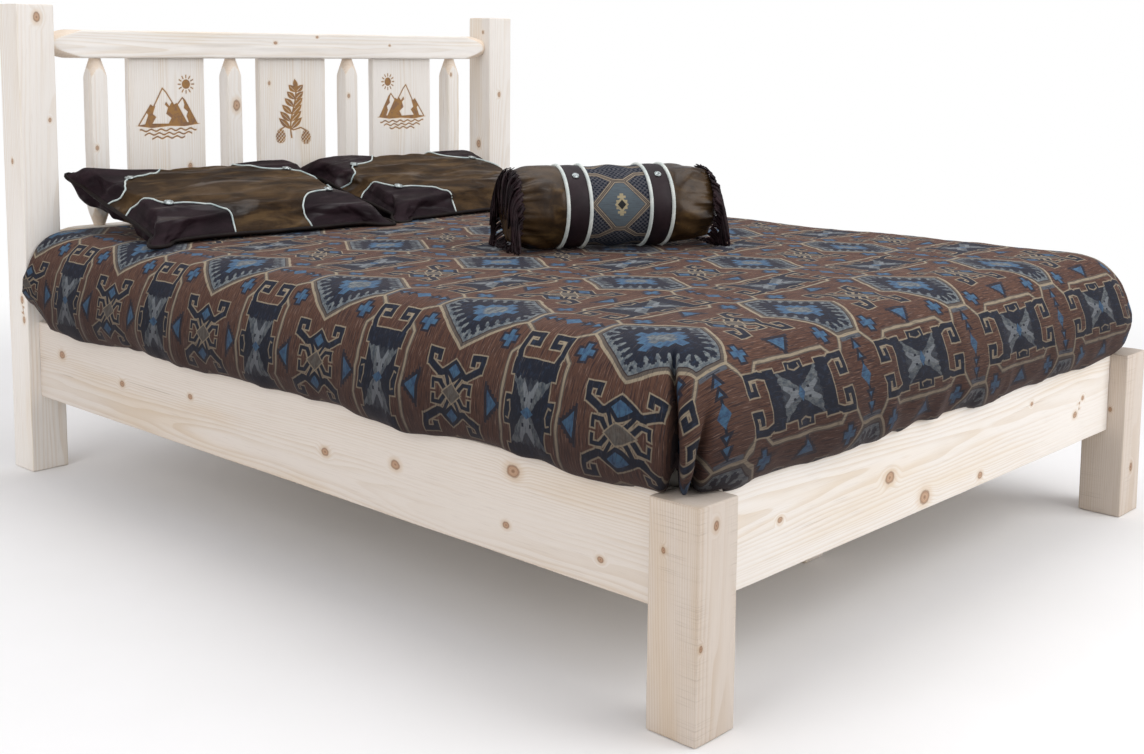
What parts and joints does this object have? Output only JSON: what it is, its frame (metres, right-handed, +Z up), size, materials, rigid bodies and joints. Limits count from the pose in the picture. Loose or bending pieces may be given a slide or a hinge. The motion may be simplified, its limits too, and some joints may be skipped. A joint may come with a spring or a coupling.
{
  "type": "rustic bed",
  "caption": "Rustic pine bed with square posts, a headboard of tapered spindles and plain panels, a slatted platform, mattress, patterned comforter, leather pillows and a fringed bolster.",
  "frame": {"origin": "on the floor under the middle of the bed", "axes": "+X to the right as seen from the foot, +Y from foot to head, +Z up"},
  "size_m": [1.6996, 2.21, 1.166],
  "materials": {
    "whitewashed_pine": "pale whitewash over knotty pine",
    "panel_pine": "pale whitewash with engraved, stained lines",
    "platform_pine": "bare planed pine",
    "steel": "zinc-plated steel",
    "ticking": "plain off-white ticking",
    "woven_quilt": "woven geometric pattern in rust, navy, blue and tan",
    "pillow_leather": "soft brown leather with aubergine corners",
    "bolster_leather": "brown leather with woven and aubergine bands",
    "fringe_leather": "cut strips of dark leather"
  },
  "bodies": {
    "frame": {"head_post_left": "whitewashed_pine", "head_post_right": "whitewashed_pine", "head_top_rail": "whitewashed_pine", "head_lower_rail": "whitewashed_pine", "spindle_1": "whitewashed_pine", "spindle_2": "whitewashed_pine", "spindle_3": "whitewashed_pine", "spindle_4": "whitewashed_pine", "foot_post_left": "whitewashed_pine", "foot_post_right": "whitewashed_pine", "foot_rail": "whitewashed_pine", "side_rail_left": "whitewashed_pine", "side_rail_right": "whitewashed_pine", "panel_left": "panel_pine", "panel_centre": "panel_pine", "panel_right": "panel_pine", "cleat_left": "platform_pine", "cleat_right": "platform_pine", "slat_01": "platform_pine", "slat_02": "platform_pine", "slat_03": "platform_pine", "slat_04": "platform_pine", "slat_05": "platform_pine", "slat_06": "platform_pine", "slat_07": "platform_pine", "slat_08": "platform_pine", "slat_09": "platform_pine", "slat_10": "platform_pine", "slat_11": "platform_pine", "slat_12": "platform_pine", "slat_13": "platform_pine", "centre_beam": "platform_pine", "centre_leg_foot": "platform_pine", "centre_leg_middle": "platform_pine", "centre_leg_head": "platform_pine", "hooked_plate_foot_left": "steel", "hooked_plate_foot_right": "steel", "hooked_plate_head_left": "steel", "hooked_plate_head_right": "steel", "slotted_plate_foot_left": "steel", "slotted_plate_foot_right": "steel", "slotted_plate_head_left": "steel", "slotted_plate_head_right": "steel"},
    "mattress": {"mattress": "ticking"},
    "comforter": {"comforter": "woven_quilt"},
    "pillow_left": {"pillow_left": "pillow_leather"},
    "pillow_right": {"pillow_right": "pillow_leather"},
    "bolster": {"bolster": "bolster_leather", "bolster_fringes": "fringe_leather"}
  },
  "joints": [
    {"name": "mattress_lift", "type": "slide", "parent": "frame", "child": "mattress", "axis": [0, 0, 1], "range_m": [0, 0.3]},
    {"name": "comforter_lift", "type": "slide", "parent": "mattress", "child": "comforter", "axis": [0, 0, 1], "range_m": [0, 0.26]},
    {"name": "pillow_left_lift", "type": "slide", "parent": "comforter", "child": "pillow_left", "axis": [0, 0, 1], "range_m": [0, 0.25]},
    {"name": "pillow_right_lift", "type": "slide", "parent": "comforter", "child": "pillow_right", "axis": [0, 0, 1], "range_m": [0, 0.25]},
    {"name": "bolster_lift", "type": "slide", "parent": "comforter", "child": "bolster", "axis": [0, 0, 1], "range_m": [0, 0.25]}
  ]
}
